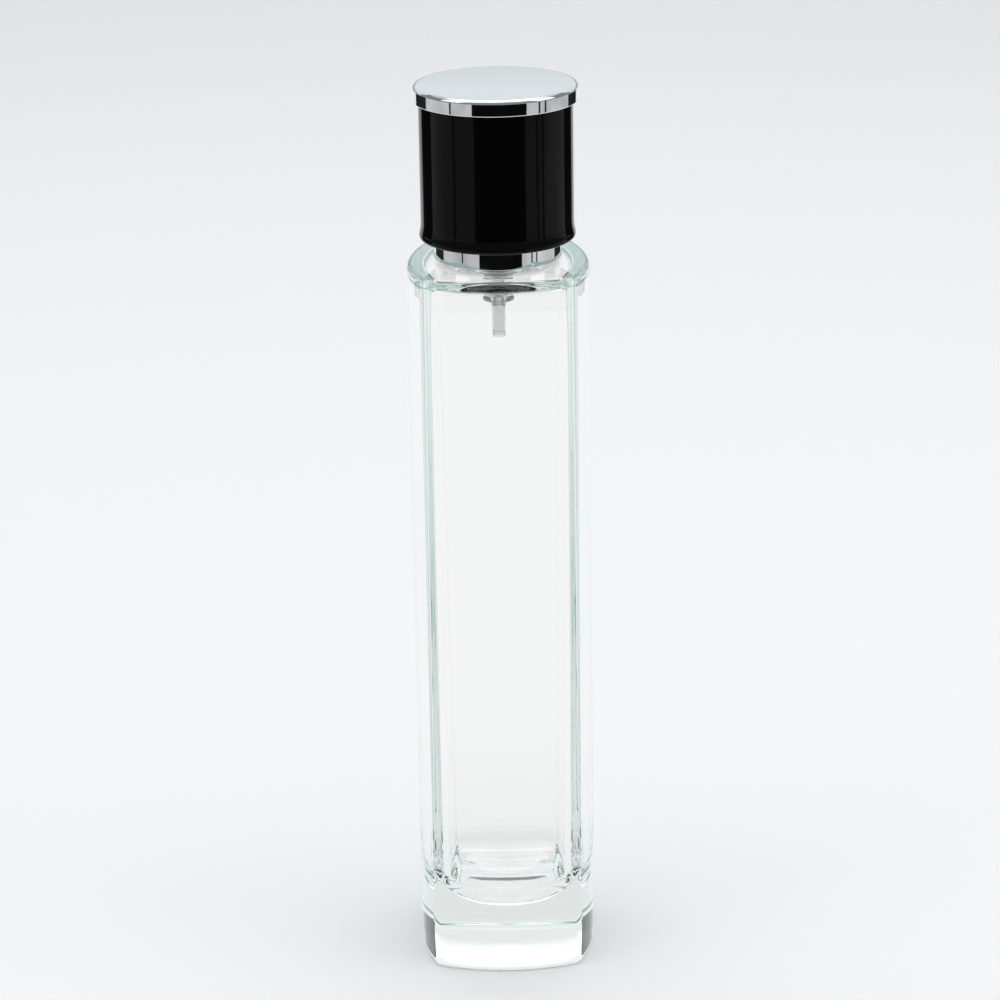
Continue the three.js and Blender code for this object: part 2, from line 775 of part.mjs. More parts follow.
plunger.add(button);
bottle.add(plunger, cap);

export default bottle;
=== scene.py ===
# Tall square glass spray bottle with a crimped pump, a chrome collar and a black pull-off cap.
# Lengths in the dictionaries are in millimetres. Blender works in metres.
import bpy
import bmesh
import math
from mathutils import Matrix, Vector, noise


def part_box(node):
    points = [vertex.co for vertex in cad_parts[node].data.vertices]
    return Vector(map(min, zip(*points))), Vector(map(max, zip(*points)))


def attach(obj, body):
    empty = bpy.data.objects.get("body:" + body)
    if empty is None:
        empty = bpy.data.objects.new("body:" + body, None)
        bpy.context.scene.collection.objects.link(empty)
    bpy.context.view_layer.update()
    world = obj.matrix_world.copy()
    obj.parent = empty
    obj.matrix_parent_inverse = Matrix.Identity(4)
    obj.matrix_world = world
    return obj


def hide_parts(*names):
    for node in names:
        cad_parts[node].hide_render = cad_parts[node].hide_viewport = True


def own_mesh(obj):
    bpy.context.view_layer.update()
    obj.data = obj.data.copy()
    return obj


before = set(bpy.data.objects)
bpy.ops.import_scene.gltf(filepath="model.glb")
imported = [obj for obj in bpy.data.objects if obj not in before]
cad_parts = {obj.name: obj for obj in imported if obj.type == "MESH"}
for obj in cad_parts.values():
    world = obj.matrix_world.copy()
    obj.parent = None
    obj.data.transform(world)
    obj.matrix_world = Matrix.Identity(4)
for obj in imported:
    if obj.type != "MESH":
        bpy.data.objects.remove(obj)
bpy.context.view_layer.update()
mm = 0.001


# small tools

def hexColour(code):
    # sRGB hex to the linear colour that Blender works with
    def linear(part):
        value = int(part, 16) / 255
        return value / 12.92 if value <= 0.04045 else ((value + 0.055) / 1.055) ** 2.4
    return (linear(code[0:2]), linear(code[2:4]), linear(code[4:6]), 1)


def addNode(tree, kind, settings=None, links=None):
    # settings fill attributes or sockets by name, links join sockets of this node to others' outputs
    node = tree.nodes.new(kind)
    for key, value in (settings or {}).items():
        if isinstance(key, str) and hasattr(node, key):
            setattr(node, key, value)
        else:
            node.inputs[key].default_value = value
    for key, output in (links or {}).items():
        tree.links.new(output, node.inputs[key])
    return node


def newMaterial(name):
    material = bpy.data.materials.new(name)
    material.use_nodes = True
    material.node_tree.nodes.clear()
    return material, material.node_tree


def finishSurface(tree, shader, volume=None):
    output = addNode(tree, "ShaderNodeOutputMaterial", links={"Surface": shader})
    if volume:
        tree.links.new(volume, output.inputs["Volume"])


def objectNoise(tree, grainMm, detail=2, stretch=(1, 1, 1)):
    # noise whose grain is about grainMm across
    place = addNode(tree, "ShaderNodeTexCoord")
    scale = addNode(tree, "ShaderNodeMapping", {"Scale": stretch}, {"Vector": place.outputs["Object"]})
    return addNode(tree, "ShaderNodeTexNoise", {"Scale": 1 / (grainMm * mm), "Detail": detail},
                   {"Vector": scale.outputs["Vector"]})


def mapTo(tree, source, first, last, fromFirst=0.3, fromLast=0.7):
    # the default source range is the middle of a noise, where most of its values lie
    node = addNode(tree, "ShaderNodeMapRange",
                   {"From Min": fromFirst, "From Max": fromLast, "To Min": first, "To Max": last},
                   {"Value": source})
    return node.outputs["Result"]


def mixColours(tree, first, second, share):
    node = addNode(tree, "ShaderNodeMix", {"data_type": "RGBA", 6: hexColour(first), 7: hexColour(second)},
                   {"Factor": share})
    return node.outputs[2]


def mathNode(tree, operation, first, second):
    return addNode(tree, "ShaderNodeMath", {"operation": operation}, {0: first, 1: second}).outputs[0]


def mixShaders(tree, share, first, second):
    return addNode(tree, "ShaderNodeMixShader", links={0: share, 1: first, 2: second}).outputs[0]


def placeObject(name, data):
    placed = bpy.data.objects.new(name, data)
    bpy.context.scene.collection.objects.link(placed)
    return placed


def toolObject(name, made):
    # a rod or block that only serves a boolean
    mesh = bpy.data.meshes.new(name)
    made.to_mesh(mesh)
    made.free()
    return placeObject(name, mesh)


# shapes

def roundCorners(points, steps=5):
    # points are (radius, height, rounding); a rounding of 0 keeps the corner sharp
    rounded = []
    for index, (radius, height, rounding) in enumerate(points):
        here = Vector((radius, height))
        if rounding == 0:
            rounded.append(here)
            continue
        before = Vector(points[index - 1][:2]) - here
        after = Vector(points[(index + 1) % len(points)][:2]) - here
        half = before.angle(after) / 2
        reach = min(rounding / math.tan(half), before.length * 0.49, after.length * 0.49)
        size = reach * math.tan(half)
        centre = here + (before.normalized() + after.normalized()).normalized() * size / math.sin(half)
        start = here + before.normalized() * reach - centre
        end = here + after.normalized() * reach - centre
        first = math.atan2(start.y, start.x)
        turn = (math.atan2(end.y, end.x) - first + math.pi) % (2 * math.pi) - math.pi
        for step in range(steps + 1):
            angle = first + turn * step / steps
            rounded.append(centre + Vector((math.cos(angle), math.sin(angle))) * size)
    return rounded


def meshObject(name, vertices, faces, material, body, nodes):
    mesh = bpy.data.meshes.new(name)
    mesh.from_pydata([Vector(v) * mm for v in vertices], [], faces)
    made = bmesh.new()
    made.from_mesh(mesh)
    bmesh.ops.remove_doubles(made, verts=made.verts, dist=1e-7)
    bmesh.ops.recalc_face_normals(made, faces=made.faces)
    made.to_mesh(mesh)
    made.free()
    piece = placeObject(name, mesh)
    mesh.materials.append(material)
    smoothFaces(mesh)
    weighted = piece.modifiers.new("evenShading", "WEIGHTED_NORMAL")
    weighted.keep_sharp = True
    weighted.weight = 80
    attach(piece, body)
    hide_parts(*nodes)
    return piece


def smoothFaces(mesh, sharpDegrees=35):
    # smooth shading that keeps flat faces flat beside small roundings
    mesh.polygons.foreach_set("use_smooth", [True] * len(mesh.polygons))
    mesh.set_sharp_from_angle(angle=math.radians(sharpDegrees))


def turnedMesh(points, sides):
    profile = roundCorners(points)
    onAxis = profile[0].x == 0
    vertices, faces = [], []
    for side in range(sides):
        angle = 2 * math.pi * side / sides
        vertices += [(p.x * math.cos(angle), p.x * math.sin(angle), p.y) for p in profile]
    count = len(profile)
    for side in range(sides):
        here, there = side * count, (side + 1) % sides * count
        for i in range(count - 1 if onAxis else count):
            j = (i + 1) % count
            ring = (here + i, there + i, there + j, here + j)
            if profile[i].x == 0:
                ring = (here + i, there + j, here + j)
            elif profile[j].x == 0:
                ring = (here + i, there + i, here + j)
            faces.append(ring)
    return vertices, faces


def turned(name, points, material, body, sides=144):
    vertices, faces = turnedMesh(points, sides)
    return meshObject(name, vertices, faces, material, body, [name.replace("_look", "")])


def crossCutter(radius, fromY, toY, height, sides=48):
    # a rod along Y that cuts or joins other pieces
    made = bmesh.new()
    middle = Matrix.Translation((0, (fromY + toY) / 2 * mm, height * mm))
    place = middle @ Matrix.Rotation(math.pi / 2, 4, "X")
    bmesh.ops.create_cone(made, cap_ends=True, segments=sides, radius1=radius * mm, radius2=radius * mm,
                          depth=abs(toY - fromY) * mm, matrix=place)
    return toolObject("cutter", made)


def combine(piece, cutter, operation):
    # a boolean, applied at once, with its tool removed
    step = piece.modifiers.new("combine", "BOOLEAN")
    step.operation = operation
    step.object = cutter
    step.solver = "EXACT"
    piece.modifiers.move(len(piece.modifiers) - 1, 0)
    weighted = piece.modifiers["evenShading"]
    weighted.show_viewport = False
    bpy.context.view_layer.update()
    evaluated = piece.evaluated_get(bpy.context.evaluated_depsgraph_get())
    solved = bpy.data.meshes.new_from_object(evaluated)
    piece.modifiers.remove(step)
    piece.data = solved
    weighted.show_viewport = True
    smoothFaces(solved)
    bpy.data.objects.remove(cutter)


def cushion(halfWidth, faceRadius, cornerRadius, faceSteps=26, cornerSteps=10):
    # outline of a square with bowed faces and rounded upright edges
    offset = faceRadius - halfWidth
    corner = (math.sqrt(2 * (faceRadius - cornerRadius) ** 2 - offset ** 2) - offset) / 2
    spread = math.atan2(corner, offset + corner)
    outline = []
    for side in range(4):
        turn = side * math.pi / 2
        cos, sin = math.cos(turn), math.sin(turn)
        face = [spread * (2 * i / faceSteps - 1) for i in range(faceSteps)]
        edge = [spread + (math.pi / 2 - 2 * spread) * i / cornerSteps for i in range(cornerSteps)]
        points = [(faceRadius * math.sin(a), offset - faceRadius * math.cos(a)) for a in face]
        points += [(corner + cornerRadius * math.sin(a), -corner - cornerRadius * math.cos(a))
                   for a in edge]
        outline += [(x * cos - y * sin, x * sin + y * cos) for x, y in points]
    return outline


def scaled(outline, share):
    return [(x * share, y * share) for x, y in outline]


def circleLike(outline, radius):
    # a circle with its points at the same angles as the outline's
    return [(x / math.hypot(x, y) * radius, y / math.hypot(x, y) * radius) for x, y in outline]


def blend(first, second, share):
    return [(a[0] + (b[0] - a[0]) * share, a[1] + (b[1] - a[1]) * share) for a, b in zip(first, second)]


def loftMesh(firstPole, rings, lastPole):
    # rings are (outline, height), all with the same number of points, closed by a point at each end
    vertices = [(0, 0, firstPole)]
    for outline, height in rings:
        vertices += [(x, y, height) for x, y in outline]
    vertices.append((0, 0, lastPole))
    count = len(rings[0][0])
    faces = []
    for i in range(count):
        j = (i + 1) % count
        faces.append((0, 1 + j, 1 + i))
        top = 1 + (len(rings) - 1) * count
        faces.append((len(vertices) - 1, top + i, top + j))
        for ring in range(len(rings) - 1):
            below, above = 1 + ring * count, 1 + (ring + 1) * count
            faces.append((below + i, below + j, above + j, above + i))
    return vertices, faces


# materials

def sodaLimeGlass():
    # clear flint glass, pressed and fire polished: bright, faintly green where it is thick
    material, tree = newMaterial("sodaLimeGlass")
    ripple = objectNoise(tree, 14, 1, (1, 1, 0.35))
    wave = addNode(tree, "ShaderNodeBump", {"Strength": 0.05, "Distance": 0.1 * mm},
                   {"Height": ripple.outputs["Fac"]})
    haze = objectNoise(tree, 5, 3)
    glass = addNode(tree, "ShaderNodeBsdfPrincipled",
                    {"Base Color": hexColour("fefefe"), "IOR": 1.52, "Transmission Weight": 1},
                    {"Normal": wave.outputs["Normal"],
                     "Roughness": mapTo(tree, haze.outputs["Fac"], 0, 0.012)})
    clear = addNode(tree, "ShaderNodeBsdfTransparent", {"Color": hexColour("fcfefd")})
    path = addNode(tree, "ShaderNodeLightPath")
    # lamps shine through, so the floor keeps only a pale shadow
    both = mixShaders(tree, path.outputs["Is Shadow Ray"], glass.outputs[0], clear.outputs[0])
    tint = addNode(tree, "ShaderNodeVolumeAbsorption", {"Color": hexColour("edf4f2"), "Density": 24})
    finishSurface(tree, both, tint.outputs[0])
    return material


def glossBlackPlastic():
    # injection moulded ABS, polished tool: deep black with sharp reflections and hairline scuffs
    material, tree = newMaterial("glossBlackPlastic")
    peel = objectNoise(tree, 1.6, 2)
    scuffs = objectNoise(tree, 0.35, 4, (1, 1, 0.05))
    height = addNode(tree, "ShaderNodeBump", {"Strength": 0.06, "Distance": 0.02 * mm},
                     {"Height": peel.outputs["Fac"]})
    body = addNode(tree, "ShaderNodeBsdfPrincipled",
                   {"Base Color": hexColour("050506"), "IOR": 1.54, "Specular IOR Level": 0.1},
                   {"Roughness": mapTo(tree, scuffs.outputs["Fac"], 0.04, 0.13),
                    "Normal": height.outputs["Normal"]})
    finishSurface(tree, body.outputs[0])
    return material


def mirrorChrome():
    # decorative chrome over nickel on plastic: cool mirror with a little orange peel
    material, tree = newMaterial("mirrorChrome")
    peel = objectNoise(tree, 2.2, 2)
    handling = objectNoise(tree, 4, 4)
    height = addNode(tree, "ShaderNodeBump", {"Strength": 0.05, "Distance": 0.02 * mm},
                     {"Height": peel.outputs["Fac"]})
    metal = addNode(tree, "ShaderNodeBsdfPrincipled",
                    {"Base Color": hexColour("e3e6e8"), "Metallic": 1},
                    {"Roughness": mapTo(tree, handling.outputs["Fac"], 0.015, 0.06),
                     "Normal": height.outputs["Normal"]})
    finishSurface(tree, metal.outputs[0])
    return material


def drawnAluminium():
    # deep drawn and rolled round the bead: satin rings from the crimping tool
    material, tree = newMaterial("drawnAluminium")
    rings = objectNoise(tree, 0.3, 3, (0.05, 0.05, 1))
    height = addNode(tree, "ShaderNodeBump", {"Strength": 0.2, "Distance": 0.02 * mm},
                     {"Height": rings.outputs["Fac"]})
    metal = addNode(tree, "ShaderNodeBsdfPrincipled",
                    {"Base Color": hexColour("cfd1d3"), "Metallic": 1},
                    {"Roughness": mapTo(tree, rings.outputs["Fac"], 0.2, 0.38),
                     "Normal": height.outputs["Normal"]})
    finishSurface(tree, metal.outputs[0])
    return material


def springSteel():
    # stainless, drawn wire and a ground ball: bright with fine lines
    material, tree = newMaterial("springSteel")
    lines = objectNoise(tree, 0.15, 3)
    metal = addNode(tree, "ShaderNodeBsdfPrincipled",
                    {"Base Color": hexColour("b9bbbd"), "Metallic": 1},
                    {"Roughness": mapTo(tree, lines.outputs["Fac"], 0.16, 0.32)})
    finishSurface(tree, metal.outputs[0])
    return material


def naturalPolyethylene():
    # unpigmented LDPE, moulded: milky, lets light through, soft waxy gloss
    material, tree = newMaterial("naturalPolyethylene")
    cloud = objectNoise(tree, 2.5, 3)
    grain = objectNoise(tree, 0.4, 2)
    height = addNode(tree, "ShaderNodeBump", {"Strength": 0.1, "Distance": 0.02 * mm},
                     {"Height": grain.outputs["Fac"]})
    colour = mixColours(tree, "f8faf9", "fefefe", cloud.outputs["Fac"])
    body = addNode(tree, "ShaderNodeBsdfPrincipled",
                   {"IOR": 1.51, "Transmission Weight": 0.85},
                   {"Base Color": colour, "Normal": height.outputs["Normal"],
                    "Roughness": mapTo(tree, cloud.outputs["Fac"], 0.08, 0.18)})
    finishSurface(tree, body.outputs[0])
    return material


def whitePolypropylene():
    # moulded PP: clean white, semi matt, faint flow marks
    material, tree = newMaterial("whitePolypropylene")
    flow = objectNoise(tree, 3, 3, (1, 1, 0.4))
    grain = objectNoise(tree, 0.3, 2)
    height = addNode(tree, "ShaderNodeBump", {"Strength": 0.12, "Distance": 0.02 * mm},
                     {"Height": grain.outputs["Fac"]})
    colour = mixColours(tree, "e6e6e2", "f1f1ee", flow.outputs["Fac"])
    body = addNode(tree, "ShaderNodeBsdfPrincipled",
                   {"IOR": 1.49, "Subsurface Weight": 0.1, "Subsurface Scale": 0.5 * mm},
                   {"Base Color": colour, "Normal": height.outputs["Normal"],
                    "Roughness": mapTo(tree, grain.outputs["Fac"], 0.34, 0.5)})
    finishSurface(tree, body.outputs[0])
    return material


def sealElastomer():
    # thermoplastic elastomer seal: matt, off white, slightly dusty
    material, tree = newMaterial("sealElastomer")
    dust = objectNoise(tree, 0.5, 4)
    colour = mixColours(tree, "cfcbc0", "dedbd2", dust.outputs["Fac"])
    body = addNode(tree, "ShaderNodeBsdfPrincipled", {"IOR": 1.5},
                   {"Base Color": colour,
                    "Roughness": mapTo(tree, dust.outputs["Fac"], 0.6, 0.8)})
    finishSurface(tree, body.outputs[0])
    return material


glassLook = sodaLimeGlass()
blackLook = glossBlackPlastic()
chromeLook = mirrorChrome()
aluminiumLook = drawnAluminium()
steelLook = springSteel()
naturalLook = naturalPolyethylene()
whiteLook = whitePolypropylene()
sealLook = sealElastomer()
print("materials made")


# sizes that the pieces share, read from the frame

def low(node):
    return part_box(node)[0][2] / mm


def high(node):
    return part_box(node)[1][2] / mm


def radiusOf(node):
    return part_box(node)[1][0] / mm


# glass body

glass = {
    "halfWidth": radiusOf("glass_bottle"),
    "neckTop": high("glass_bottle"),
    "height": 146.8, "faceRadius": 38, "cornerRadius": 2.6,
    "shoulderRadius": 1.6, "shoulderRise": 0.6, "footRadius": 1.3, "footRim": 2.6, "punt": 0.8,
    "faceWall": 3.3, "wallTaper": 0.6, "shoulderWall": 1.8, "base": 10.5, "bowl": 10, "ceiling": 0.9,
    "cavityFaceRadius": 32, "cavityCornerTop": 1.4, "cavityCorner": 3, "cavityCornerFoot": 5.6,
    "flare": 0.1, "mouthReach": 1, "neckRadius": 6.4, "neckFillet": 1, "boreRadius": 4.9,
    "beadRadius": 7.5, "beadHeight": 4.2, "beadSlope": 1.1,
    "ripple": 0.02, "rippleAcross": 0.12, "rippleAlong": 0.02,
    "wallSteps": 36, "cavitySteps": 60, "filletSteps": 8,
}


def insetOutline(g, inset):
    return cushion(g["halfWidth"] - inset, g["faceRadius"] - inset, g["cornerRadius"] - inset)


def footAndWalls(g):
    foot, rim = g["footRadius"], insetOutline(g, g["footRadius"])
    rimShare = 1 - g["footRim"] / (g["halfWidth"] - foot)
    rings = []
    # hollow under the foot
    for step in range(1, 9):
        share = step / 8
        rings.append((scaled(rim, rimShare * share), g["punt"] * (1 - share ** 2) ** 1.5))
    fillet = [math.pi / 2 * i / g["filletSteps"] for i in range(g["filletSteps"] + 1)]
    for a in fillet:
        rings.append((insetOutline(g, foot * (1 - math.sin(a))), foot * (1 - math.cos(a))))
    wallTop, steps, edge = g["height"] - g["shoulderRadius"], g["wallSteps"], g["shoulderRadius"]
    rings += [(insetOutline(g, 0), foot + (wallTop - foot) * i / steps) for i in range(1, steps)]
    for a in fillet:
        rings.append((insetOutline(g, edge * (1 - math.cos(a))), g["height"] - edge * (1 - math.sin(a))))
    return rings


def shoulderAndNeck(g, rim):
    # the shoulder is nearly flat and rises to the neck
    edge, neckFoot = insetOutline(g, g["shoulderRadius"]), g["height"] + g["shoulderRise"]
    foot = circleLike(rim, g["neckRadius"] + g["neckFillet"])
    rings = []
    for step in range(1, 8):
        share = step / 8
        rise = g["shoulderRise"] * math.sin(share * math.pi / 2) ** 2
        rings.append((blend(edge, foot, share), g["height"] + rise))
    for i in range(6):
        a = math.pi / 2 * i / 5
        rings.append((circleLike(rim, g["neckRadius"] + g["neckFillet"] * (1 - math.sin(a))),
                      neckFoot + g["neckFillet"] * (1 - math.cos(a))))
    top, beadFoot = g["neckTop"], g["neckTop"] - g["beadHeight"]
    bead = roundCorners([(0, top, 0), (g["boreRadius"], neckFoot, 0),
                         (g["neckRadius"], beadFoot - g["beadSlope"], 0.5), (g["beadRadius"], beadFoot, 0.5),
                         (g["beadRadius"], top, 0.6), (g["boreRadius"], top, 0.4),
                         (g["boreRadius"], neckFoot, 0)])
    # the first two and the last point only guide the rounding
    return rings + [(circleLike(rim, p.x), p.y) for p in bead[2:-1]]


def cavityAt(g, share):
    # outline of the cavity, from 0 at its ceiling to 1 where the bowl starts
    opening = (1 - min(1, share / g["flare"])) ** 2
    corner = g["cavityCorner"] + (g["cavityCornerFoot"] - g["cavityCorner"]) * math.sqrt(share) \
        + (g["cavityCornerTop"] - g["cavityCorner"]) * opening
    half = g["halfWidth"] - g["faceWall"] - g["wallTaper"] * share
    return cushion(half, g["cavityFaceRadius"], corner)


def cavity(g, rim):
    cavityTop = g["height"] - g["shoulderWall"]
    # the bore opens a little before it meets the ceiling
    rings = [(circleLike(rim, g["boreRadius"] + widening), cavityTop + above)
             for widening, above in ((0, 1.9), (0.06, 1.2), (0.3, 0.5))]
    mouth, upper = circleLike(rim, g["boreRadius"] + g["mouthReach"]), cavityAt(g, 0)
    for i in range(13):
        a = math.pi / 2 * i / 12
        rings.append((blend(mouth, upper, math.sin(a)), cavityTop - g["ceiling"] * (1 - math.cos(a))))
    wallTop, wallFoot = cavityTop - g["ceiling"], g["base"] + g["bowl"]
    for i in range(1, g["cavitySteps"] + 1):
        share = (i / g["cavitySteps"]) ** 1.4
        height = wallTop + (wallFoot - wallTop) * share
        outline = []
        for x, y in cavityAt(g, share):
            # the inside is only blown, so it wanders a little
            place = Vector((x * g["rippleAcross"], y * g["rippleAcross"], height * g["rippleAlong"]))
            wander = noise.noise(place) * g["ripple"]
            size = 1 + wander * min(1, 4 * share, 4 * (1 - share)) / math.hypot(x, y)
            outline.append((x * size, y * size))
        rings.append((outline, height))
    lower = cavityAt(g, 1)
    bowlRadius = g["halfWidth"] - g["faceWall"] - g["wallTaper"]
    for i in range(1, 16):
        a = math.pi / 2 * i / 16
        circle = circleLike(lower, bowlRadius * math.cos(a))
        rings.append((blend(scaled(lower, math.cos(a)), circle, math.sin(a) ** 4),
                      wallFoot - g["bowl"] * math.sin(a)))
    return rings


def glassBody(g):
    rim = insetOutline(g, g["footRadius"])
    rings = footAndWalls(g) + shoulderAndNeck(g, rim) + cavity(g, rim)
    vertices, faces = loftMesh(g["punt"], rings, g["base"])
    meshObject("glass_bottle_look", vertices, faces, glassLook, "bottle", ["glass_bottle"])


glassBody(glass)
print("glass body made")


# neck seal, ferrule and collar

neck = {"gasketBore": 4.3, "gasketRadius": 6.8, "ferruleInner": 7.7, "ferruleWall": 0.4,
        "crimpRadius": 6.75, "hatInner": 4.15, "stemHole": 2.4}


def neckGasket(n):
    foot, top, inner, outer = low("neck_gasket"), high("neck_gasket"), n["gasketBore"], n["gasketRadius"]
    turned("neck_gasket_look", [(inner, foot, 0.1), (outer, foot, 0.1), (outer, top, 0.1), (inner, top, 0.1)],
           sealLook, "bottle", 96)


def crimpFerrule(n):
    top, wall = high("crimp_ferrule"), n["ferruleWall"]
    crimpFoot = low("crimp_ferrule")
    bead = glass["neckTop"] - glass["beadHeight"]
    shoulder = high("pump_housing") + 0.05
    outer, hat = n["ferruleInner"] + wall, n["hatInner"]
    turned("crimp_ferrule_look",
           [(n["crimpRadius"], crimpFoot, 0.1), (outer, bead - 0.7, 0.4), (outer, shoulder + wall, 0.5),
            (hat + wall, shoulder + wall, 0.15), (hat + wall, top, 0.3), (n["stemHole"], top, 0.05),
            (n["stemHole"], top - wall, 0.05), (hat, top - wall, 0.1), (hat, shoulder, 0.2),
            (n["ferruleInner"], shoulder, 0.2), (n["ferruleInner"], bead - 0.35, 0.1),
            (n["crimpRadius"], crimpFoot + wall + 0.1, 0.05)],
           aluminiumLook, "bottle")


collar = {"radius": radiusOf("collar_shell"), "wall": 0.45, "well": 7.1, "wellDepth": 3, "round": 0.8,
          "grip": 8.15, "gripWall": 1.3, "skirtWall": 1.1, "gap": 0.05}


def collarPieces(c):
    foot, top, wall = low("collar_shell"), high("collar_shell"), c["wall"]
    outer, under = c["radius"], top - wall
    turned("collar_shell_look",
           [(outer - wall, foot, 0.12), (outer, foot, 0.15), (outer, top, c["round"]),
            (c["well"], top, 0.4), (c["well"], top - c["wellDepth"], 0.1),
            (c["well"] + wall, top - c["wellDepth"], 0.1),
            (c["well"] + wall, under, 0.1), (outer - wall, under, 0.4)],
           chromeLook, "bottle", 192)
    skirt = outer - wall - 0.08
    inner = low("collar_insert")
    rest = high("pump_housing") + 0.5
    ledge = c["well"] + wall + 0.3
    web = (inner + under) / 2 - 0.6
    grip, gripFoot, insertTop = c["grip"] + c["gripWall"], inner + 1.2, under - c["gap"]
    turned("collar_insert_look",
           [(c["grip"], gripFoot, 0.15), (grip, gripFoot, 0.2), (grip, web, 0.4),
            (skirt - c["skirtWall"], web, 0.4), (skirt - c["skirtWall"], inner, 0.15), (skirt, inner, 0.15),
            (skirt, insertTop, 0.7), (ledge, insertTop, 0.1), (ledge, rest, 0.1), (c["grip"], rest, 0.1)],
           whiteLook, "bottle", 128)


neckGasket(neck)
crimpFerrule(neck)
collarPieces(collar)
print("neck and collar made")


# pump

pump = {"bore": 2.9, "wall": 1, "flange": 6.8, "springBore": 2.2, "barrel": 2.85, "rim": 3.1, "tail": 1.28,
        "tailBore": 0.85, "boreStep": 145.17, "springSeat": 142.02, "lipFoot": 141.62, "seatEdge": 139.56,
        "barrelFoot": 138.96, "coneFoot": 137.66, "ballRadius": 0.9, "seatHole": 0.7, "lipBore": 0.75,
        "stem": 1.5, "stemBore": 0.5, "stemFoot": 2.2, "stemFootHeight": 0.8, "crossHole": 0.35,
        "seal": 0.04, "guideGap": 0.08, "guideFlange": 4, "springTurns": 6.5, "wire": 0.22}


def pumpHousing(p):
    foot, top = low("pump_housing"), high("pump_housing")
    flangeFoot, chamber, outer = top - 1, p["ballRadius"] + 0.3, p["bore"] + p["wall"]
    step, seat, lip = p["boreStep"], p["springSeat"], p["lipFoot"]
    turned("pump_housing_look",
           [(p["tailBore"] + 0.2, foot, 0.08), (p["tail"], foot, 0.12),
            (p["tail"] + 0.05, p["coneFoot"], 0.3), (p["tail"] + 0.45, p["coneFoot"] + 0.8, 0.4),
            (p["rim"], p["barrelFoot"], 0.15),
            (p["rim"], p["barrelFoot"] + 0.5, 0.1), (p["barrel"], p["barrelFoot"] + 0.9, 0.15),
            (p["barrel"], step - 1.4, 0.3), (outer, step - 0.8, 0.3), (outer, flangeFoot, 0.2),
            (p["flange"], flangeFoot, 0.1), (p["flange"], top, 0.1), (p["bore"], top, 0.1),
            (p["bore"], step, 0.1), (p["springBore"], step - 0.4, 0.1), (p["springBore"], seat, 0.1),
            (p["lipBore"], seat, 0.1), (p["lipBore"], lip, 0.1), (chamber, lip, 0.1),
            (chamber, p["seatEdge"] + chamber - p["seatHole"], 0.1), (p["seatHole"], p["seatEdge"], 0.03),
            (p["seatHole"], p["seatEdge"] - 0.6, 0.1), (p["tailBore"], p["coneFoot"], 0.1),
            (p["tailBore"], foot + 1.2, 0.1), (p["tailBore"] + 0.15, foot + 1.1, 0.05)],
           naturalLook, "bottle", 96)


def stemGuideAndGasket(p):
    plug, foot, top = p["bore"] - p["seal"], low("stem_guide"), high("stem_guide")
    bore, rest, flange = p["stem"] + p["guideGap"], high("pump_housing"), p["guideFlange"]
    turned("stem_guide_look",
           [(bore, foot, 0.15), (plug, foot, 0.1), (plug, rest, 0.1), (flange, rest, 0.1),
            (flange, top, 0.15), (bore, top, 0.2)], whiteLook, "bottle", 96)
    inner, gasketFoot = p["stem"] + p["seal"], low("stem_gasket")
    turned("stem_gasket_look",
           [(inner, gasketFoot, 0.1), (plug, gasketFoot, 0.1), (plug, foot, 0.05), (inner, foot, 0.05)],
           sealLook, "bottle", 72)


def stemAndPiston(p):
    foot, top, plug = low("piston"), high("piston"), p["bore"] - p["seal"]
    inner, waist = p["stem"] + p["seal"], plug - 0.5
    turned("piston_look",
           [(inner, foot, 0.1), (waist, foot + 0.5, 0.1), (plug, foot, 0.06), (plug, foot + 0.6, 0.2),
            (waist, foot + 1.1, 0.2), (waist, top - 1.1, 0.2), (plug, top - 0.6, 0.2), (plug, top, 0.06),
            (waist, top - 0.3, 0.1), (inner, top - 0.3, 0.1)],
           naturalLook, "plunger", 72)
    foot, top = low("stem"), high("stem")
    footTop = foot + p["stemFootHeight"]
    boreFoot = footTop + 0.5
    stem = turned("stem_look",
                  [(0, foot, 0), (p["stemFoot"], foot, 0.1), (p["stemFoot"], footTop, 0.15),
                   (p["stem"], footTop, 0.15), (p["stem"], top, 0.25), (p["stemBore"], top, 0.1),
                   (p["stemBore"], boreFoot, 0.1), (0, boreFoot, 0)],
                  whiteLook, "plunger", 72)
    combine(stem, crossCutter(p["crossHole"], -3, 3, footTop + 1, 24), "DIFFERENCE")


